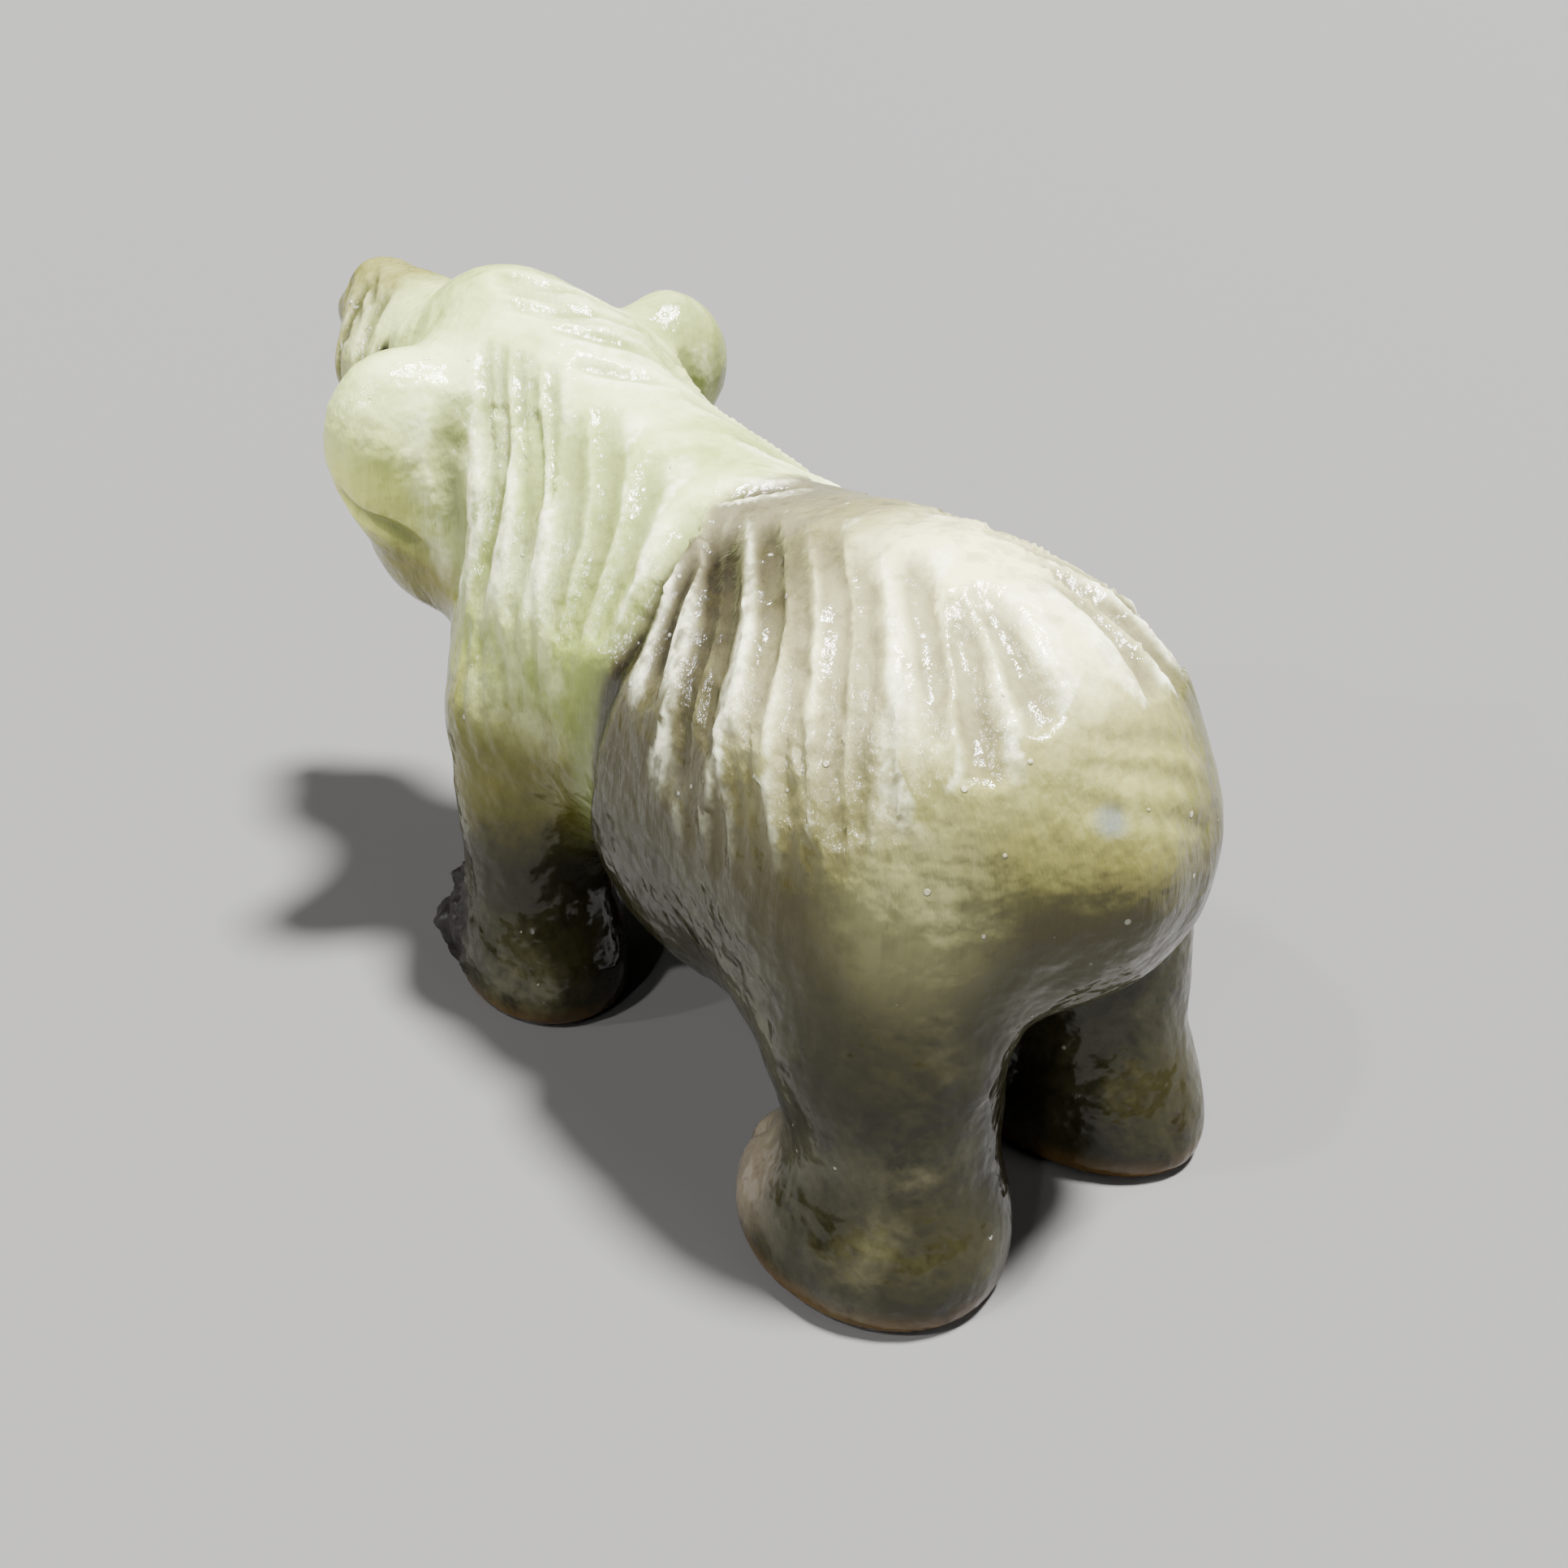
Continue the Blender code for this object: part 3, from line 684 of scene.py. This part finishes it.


# Labradorite, a feldspar ground and polished by hand: milky and a little see-through, with a waxy gloss,
# brown smoke inside it, and pits with pale dots that are painted glints; painted light and shade lie in its
# colour too.
stoneFinish = {
    "colours": {
        "pale": "#909E50",
        "milk": "#DAE4A2",
        "body": "#827F4D",
        "bodyMilk": "#ADAB70",
        "smoke": "#69654F",
        "cream": "#EAE6AC",
        "yellow": "#75733E",
        "haunch": "#8B8A5E",
        # shade and low: painted shade of the lower body; low also colours the smoke veins and the muzzle
        # clefts, shade the stripes
        "shade": "#423E24",
        "low": "#252313",
        "leg": "#252313",
        "patch": "#5A573F",
        "palm": "#7A6F60",
        "sole": "#553F1E",
        # painted light: the lit top of the head and neck, and the glow of light shining through round the
        # ear
        "litTop": "#CEDC90",
        "glow": "#DAE07C",
        # painted shade on the far side of the rump and on the far ear
        "farSideShade": "#3B3A1E",
        "farEarShade": "#6C7440",
        "jaw": "#7E7A40",
        "chest": "#56531F",
        "muzzle": "#6C6834",
        "grit": "#15110C",
        # a painted gleam of the stone's bluish flash
        "flash": "#4C5A68",
        # painted shade in the furrows
        "furrowShadeSmoke": "#1C1912",
        "furrowShadePale": "#6E7648",
        "furrowShadeBody": "#625C44",
        # painted highlight along the crests
        "crest": "#FCFDDA",
        # a painted glint in the pits
        "paintedGlint": "#F0EEDC",
    },
    # the zones are laid over one another in this order; among them are painted light on the top of the head
    # and round the ear, painted shade on the far ear, the far side of the rump and the lower body, and a
    # painted gleam
    "layers": (
        "litTop", "glow", "farEarShade", "jaw", "yellow", "cream", "smoke", "farSideShade", "shade", "haunch",
        "low", "chest", "leg", "palm", "sole", "muzzle", "flash",
    ),
    # size in millimetres, detail, roughness, and whether it is drawn out downwards
    "patterns": {
        "clouds": (5.9375, 5.0, 0.6, False),  # milky clouds deep in the stone
        "mottle": (1.3571, 6.0, 0.65, False),  # grey-brown mottling
        "streaks": (1.1875, 4.0, 0.6, True),  # smoke along the grain of the stone
        "beads": (0.6333, 2.0, 0.5, False),  # where the painted highlight on a crest shows and where it breaks
        "wear": (0.5278, 4.0, 0.5, False),  # glossier and duller patches
        "grain": (0.8261, 1.5, 0.5, False),  # waxy waves left by the last polish
        "scratches": (0.3167, 3.0, 0.6, True),  # drawn coarser than real ones, so that they show
    },
    "drawnOut": 0.16,  # patterns are shortened to this share along z, so they look six times as long
    "pitSpacing": 0.7308,  # millimetres
    "pitSizes": (0.07, 0.22),  # shares of the spacing
    "khaki": 0.35,  # this and the next values say how strongly a thing shows
    "patches": 0.55,
    "specks": 0.5,
    # the furrow shadows and the muzzle clefts are painted shade, the crests a painted highlight, the polish
    # in pits a painted glint
    "shadows": 0.75,
    "cleftShade": 0.7,
    "crestHighlights": 0.88,
    "veins": 0.6,
    "stripes": 0.3,
    "glintsInPits": 0.3,
    "roughness": (0.07, 0.27),  # at the glossiest and at the dullest patch
    "gritRoughness": 0.35,  # more of it on the broken toe
    "ior": 1.56,
    "specular": 0.28,  # a waxy polish reflects less than clean stone
    "subsurface": 0.25,
    "subsurfaceRadius": (1.0, 0.95, 0.5),  # green and red light go deeper than blue
    "subsurfaceReach": 0.0008,
    # strength and height in metres
    "waves": (0.7, 0.0002),
    "combing": (0.4, 0.00016),
    "domes": (0.8, 0.0001),
}


def polishedLabradorite():
    finish = stoneFinish
    stone = bpy.data.materials.new("polishedLabradorite")
    stone.use_nodes = True
    tree = stone.node_tree
    shader = tree.nodes["Principled BSDF"]
    coords = addNode(tree, "ShaderNodeTexCoord", output="Object")
    stretch = (1.0, 1.0, finish["drawnOut"])
    drawnOut = addNode(tree, "ShaderNodeVectorMath", coords, stretch, operation="MULTIPLY")
    patterns = {}
    for word, (size, detail, roughness, isDrawn) in finish["patterns"].items():
        patterns[word] = addNode(
            tree, "ShaderNodeTexNoise", drawnOut if isDrawn else coords,
            Scale=1000 / size, Detail=detail, Roughness=roughness,
        )
    clouds, mottle, streaks, beads, wear, grain, scratches = patterns.values()
    torn = addNode(tree, "ShaderNodeMath", mottle, 0.5, operation="SUBTRACT")
    depth = addNode(tree, "ShaderNodeAttribute", attribute_name="furrow", output="Fac")

    def zone(word, raggedness=0.5):
        # how much of a zone lies here, with its edge torn by the mottle
        weight = addNode(tree, "ShaderNodeAttribute", attribute_name=word, output="Fac")
        rest = addNode(tree, "ShaderNodeMath", 1.0, weight, operation="SUBTRACT")
        edge = addNode(tree, "ShaderNodeMath", weight, rest, operation="MULTIPLY")
        tear = addNode(tree, "ShaderNodeMath", torn, 8 * raggedness, operation="MULTIPLY")
        return addNode(tree, "ShaderNodeMath", edge, tear, weight, operation="MULTIPLY_ADD", use_clamp=True)

    def layered(ground, *layers):
        # colours laid over one another, each with how much of it shows
        for colour, share in layers:
            if isinstance(colour, str):
                colour = hexColour(finish["colours"][colour])
            ground = addNode(tree, "ShaderNodeMix", share, ground, colour, data_type="RGBA")
        return ground

    def together(*shares):
        # shows only where all of these show
        product = shares[0]
        for share in shares[1:]:
            product = addNode(tree, "ShaderNodeMath", product, share, operation="MULTIPLY")
        return product

    inFront, inBody = hexColour(finish["colours"]["pale"]), hexColour(finish["colours"]["body"])
    milky = addNode(tree, "ShaderNodeMapRange", clouds, 0.42, 0.6)
    grained = addNode(tree, "ShaderNodeMapRange", streaks, 0.4, 0.6)
    khaki = addNode(tree, "ShaderNodeMapRange", mottle, 0.5, 0.62, 0.0, finish["khaki"])
    front = layered(inFront, ("milk", milky))
    behind = layered(inBody, ("bodyMilk", together(milky, grained)), ("haunch", khaki))
    colour = layered(front, (behind, zone("body")))
    colour = layered(colour, *((word, zone(word, 0.6)) for word in finish["layers"]))

    # inside the dark legs and the painted shade of the lower body hang smoky patches
    dark = addNode(tree, "ShaderNodeMath", zone("low"), zone("leg"), operation="MAXIMUM")
    patches = addNode(tree, "ShaderNodeMapRange", clouds, 0.5, 0.66, 0.0, finish["patches"])
    broken = addNode(tree, "ShaderNodeMapRange", mottle, 0.4, 0.6, 0.35, 1.0)
    specks = addNode(tree, "ShaderNodeMapRange", mottle, 0.42, 0.34, 0.0, finish["specks"])
    colour = layered(
        colour,
        ("patch", together(patches, broken, dark)),
        ("grit", together(specks, dark)),
    )

    # painted shade: the furrows are painted darker, charcoal in the smoke and brown on the muzzle
    lit = addNode(tree, "ShaderNodeMath", 1.0, dark, operation="SUBTRACT")
    shadows = addNode(tree, "ShaderNodeMapRange", depth, 0.04, 0.4, 0.0, finish["shadows"])
    smokyFurrowShade = addNode(tree, "ShaderNodeMapRange", depth, 0.14, 0.4)
    cleftShade = addNode(tree, "ShaderNodeMapRange", depth, 0.04, 0.24, 0.0, finish["cleftShade"])
    furrowShadeColour = layered(hexColour(finish["colours"]["furrowShadePale"]), ("furrowShadeBody", zone("body")))
    colour = layered(
        colour,
        (furrowShadeColour, together(shadows, lit)),
        ("furrowShadeSmoke", together(smokyFurrowShade, zone("smoke", 0.2))),
        ("low", together(cleftShade, zone("muzzle"))),
    )

    # painted highlight: the crests between them are painted bright, broken into beads; smoke veins and
    # stripes run down the coat; the eye gets a dark spot of painted shade
    crest = addNode(tree, "ShaderNodeAttribute", attribute_name="crest", output="Fac")
    shallow = addNode(tree, "ShaderNodeMapRange", depth, 0.28, 0.08)
    highlightBeads = addNode(tree, "ShaderNodeMapRange", beads, 0.38, 0.58, 0.25, 1.0)
    crestHighlight = together(crest, shallow, highlightBeads, zone("ridged", 0.2))
    veins = addNode(tree, "ShaderNodeMapRange", streaks, 0.58, 0.72, 0.0, finish["veins"])
    stripes = addNode(tree, "ShaderNodeMapRange", streaks, 0.5, 0.62, 0.0, finish["stripes"])
    grit = zone("grit")
    gritAndEyeShade = addNode(tree, "ShaderNodeMath", grit, zone("eye", 0.0), operation="MAXIMUM")
    colour = layered(
        colour,
        ("crest", together(crestHighlight, finish["crestHighlights"])),
        ("low", together(veins, zone("smoke"))),
        ("shade", together(stripes, zone("hair"), zone("body"))),
        ("grit", gritAndEyeShade),
    )

    # painted glints: some pits get a pale dot, more of them among the speckles and on the crests, fewer on
    # the legs
    pits = addNode(tree, "ShaderNodeTexVoronoi", coords, Scale=1000 / finish["pitSpacing"], feature="F1")
    dice = addNode(tree, "ShaderNodeSeparateColor", pits.node.outputs["Color"]).node.outputs
    bare = addNode(tree, "ShaderNodeMath", 1.0, zone("hair"), operation="SUBTRACT")
    rarity = addNode(tree, "ShaderNodeMapRange", clouds, 0.42, 0.58, 1.0, 0.75)
    for share, change in ((crestHighlight, -0.5), (zone("speckle"), -0.15), (bare, 0.12)):
        rarity = addNode(tree, "ShaderNodeMath", share, change, rarity, operation="MULTIPLY_ADD")
    chosen = addNode(tree, "ShaderNodeMath", dice["Red"], rarity, operation="GREATER_THAN")
    size = addNode(tree, "ShaderNodeMapRange", dice["Green"], 0.0, 1.0, *finish["pitSizes"])
    dome = addNode(tree, "ShaderNodeMath", size, pits, operation="SUBTRACT")
    dome = addNode(tree, "ShaderNodeMath", dome, 14.0, operation="MULTIPLY", use_clamp=True)
    glintDots = together(dome, chosen)
    colour = layered(colour, ("paintedGlint", together(glintDots, finish["glintsInPits"])))
    tree.links.new(colour, shader.inputs["Base Color"])

    gloss = addNode(tree, "ShaderNodeMapRange", wear, 0.3, 0.7, *finish["roughness"])
    gloss = addNode(tree, "ShaderNodeMath", grit, finish["gritRoughness"], gloss, operation="MULTIPLY_ADD")
    tree.links.new(gloss, shader.inputs["Roughness"])

    relief = (("waves", grain), ("combing", together(scratches, zone("hair"))), ("domes", glintDots))
    below = {}
    for word, shape in relief:
        strength, rise = finish[word]
        bump = addNode(tree, "ShaderNodeBump", Height=shape, Strength=strength, Distance=rise, **below)
        below = {"Normal": bump}
    tree.links.new(bump, shader.inputs["Normal"])

    shader.inputs["IOR"].default_value = finish["ior"]
    shader.inputs["Specular IOR Level"].default_value = finish["specular"]
    shader.inputs["Subsurface Weight"].default_value = finish["subsurface"]
    shader.inputs["Subsurface Radius"].default_value = finish["subsurfaceRadius"]
    shader.inputs["Subsurface Scale"].default_value = finish["subsurfaceReach"]
    print("mixed the stone:", len(tree.nodes), "nodes")
    return stone


studio = {
    "floorColour": "#5D5C5B",
    "floorSize": 6.0,
    "cameraSpot": (41.916, 53.165, 49.028),  # grid units
    "cameraAhead": (-0.53998, -0.70371, -0.46175),
    "cameraRight": (-0.7934, 0.6088, 0.0),
    "viewWidth": 50.0,  # degrees across the square image
    "lights": (
        # name, direction from the bear, strength, width in degrees, colour
        ("overhead", (-0.22, 0.12, 0.96), 20.5, 9, "#FFFFFF"),
        ("behind", (-0.28, 0.75, 0.60), 0.8, 40, "#FFFEFA"),
        ("window", (0.80, -0.34, 0.46), 1.2, 3.5, "#FCFDFF"),
        ("lamp", (0.58, 0.0, 0.80), 2.4, 3.5, "#FFFFFF"),
        ("spot", (0.72, 0.38, 0.58), 0.6, 3, "#FFFFFF"),
    ),
    "sky": "#B9BDC4",
    "skyStrength": 0.06,
}


def gridPlace(point):
    return (Vector(point) - Vector(gridMiddle)) * gridUnit


def plainFloor():
    mesh = bmesh.new()
    bmesh.ops.create_grid(mesh, x_segments=1, y_segments=1, size=studio["floorSize"])
    data = bpy.data.meshes.new("floor")
    mesh.to_mesh(data)
    mesh.free()
    floor = bpy.data.objects.new("floor", data)
    bpy.context.scene.collection.objects.link(floor)
    paint = bpy.data.materials.new("studioPaper")  # matt paper, which gives no reflection
    paint.use_nodes = True
    shader = paint.node_tree.nodes["Principled BSDF"]
    shader.inputs["Base Color"].default_value = hexColour(studio["floorColour"])
    shader.inputs["Roughness"].default_value = 0.9
    data.materials.append(paint)


def setCamera():
    ahead, right = Vector(studio["cameraAhead"]).normalized(), Vector(studio["cameraRight"]).normalized()
    up = right.cross(ahead)
    place = Matrix((right, up, -ahead)).transposed().to_4x4()
    place.translation = gridPlace(studio["cameraSpot"])
    lens = bpy.data.cameras.new("camera")
    lens.sensor_width = 36
    lens.lens = 18 / np.tan(np.radians(studio["viewWidth"]) / 2)
    lens.clip_start = 0.001
    camera = bpy.data.objects.new("camera", lens)
    camera.matrix_world = place
    bpy.context.scene.collection.objects.link(camera)
    bpy.context.scene.camera = camera


def setLights():
    for name, direction, strength, width, colour in studio["lights"]:
        lamp = bpy.data.lights.new(name, "SUN")
        lamp.angle = np.radians(width)
        lamp.energy = strength
        lamp.color = hexColour(colour)[:3]
        light = bpy.data.objects.new(name, lamp)
        light.rotation_euler = Vector(direction).to_track_quat("Z", "Y").to_euler()
        bpy.context.scene.collection.objects.link(light)
    world = bpy.data.worlds.new("softSky")
    world.use_nodes = True
    sky = world.node_tree.nodes["Background"]
    sky.inputs[0].default_value = hexColour(studio["sky"])
    sky.inputs[1].default_value = studio["skyStrength"]
    bpy.context.scene.world = world


def makeBear():
    stone = polishedLabradorite()
    bear = carveBear()
    markZones(bear)
    tree = furrowTree("pressedFurrows")
    passes = (
        ("valleys", valleyFamilies, {"Shake Size": 4.0, "Crest Share": 0.0}),
        ("furrows", furrowFamilies, {"Depth Share": 1.2, "Unevenness": 0.5, "Broken Depth": 0.9}),
        ("gouges", gougeFamilies, {"Hand Shake": 0.2, "Seed": 9.0, "Crest Share": 0.5}),
    )
    drawn = []
    for name, families, sizes in passes:
        drawn.append(strokeLines(name, families))
        pressFurrows(bear, tree, drawn[-1], stone, sizes)
    applied(bear)
    for lines in drawn:
        bpy.data.objects.remove(lines)
    points = pointsOf(bear.data)
    points[:, 2] = np.maximum(points[:, 2], 0)
    setPoints(bear.data, points)
    bear.data.transform(Matrix.Scale(gridUnit, 4) @ Matrix.Translation(-Vector(gridMiddle)))
    bear.data.shade_smooth()
    print("pressed the furrows:", len(bear.data.polygons), "faces")
    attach(bear, "root")
    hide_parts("bear")


makeBear()
plainFloor()
setCamera()
setLights()
print("set the studio")
